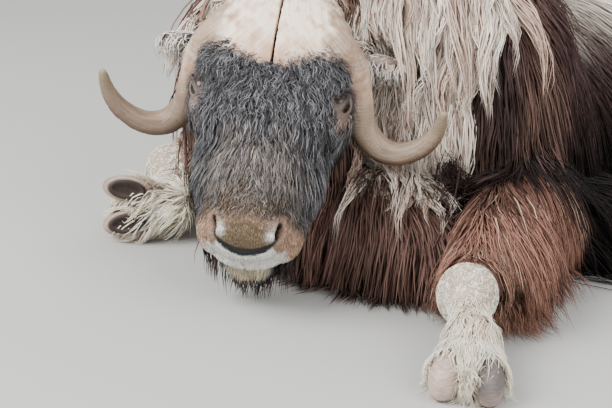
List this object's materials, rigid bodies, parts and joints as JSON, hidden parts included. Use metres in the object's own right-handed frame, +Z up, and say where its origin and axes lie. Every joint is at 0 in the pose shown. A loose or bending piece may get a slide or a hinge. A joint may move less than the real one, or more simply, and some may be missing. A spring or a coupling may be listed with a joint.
{
  "type": "muskox",
  "caption": "Life-size still model of a muskox bull lying at rest, with curved horns, a broad boss, a mane and a long hanging coat.",
  "frame": {"origin": "on the floor under the middle of the whole animal's bounding box", "axes": "+Z up; the animal faces -Y with its left side to +X; its trunk bends to its left towards the rump"},
  "size_m": [1.1456, 1.8644, 0.7772],
  "materials": {
    "coat": "long shaggy dark brown guard hair",
    "mane": "brown mane with shed pale wool",
    "face": "short dense charcoal and brown fur",
    "sock": "short cream fur",
    "horn": "worn fibrous horn",
    "hoof": "worn hoof horn",
    "eye": "wet gloss"
  },
  "bodies": {
    "root": {"ear_left": "face", "ear_right": "face", "eye_left": "eye", "eye_right": "eye", "forefoot_left": "sock", "forefoot_right": "sock", "forehoof_left_inner": "hoof", "forehoof_left_outer": "hoof", "forehoof_right_inner": "hoof", "forehoof_right_outer": "hoof", "foreleg_left": "coat", "foreleg_right": "coat", "head": "face", "hindfoot_left": "sock", "hindfoot_right": "sock", "hindhoof_left_inner": "hoof", "hindhoof_left_outer": "hoof", "hindhoof_right_inner": "hoof", "hindhoof_right_outer": "hoof", "horn_left": "horn", "horn_right": "horn", "neck": "mane", "rump": "coat", "tail": "coat", "torso": "coat"}
  },
  "joints": []
}
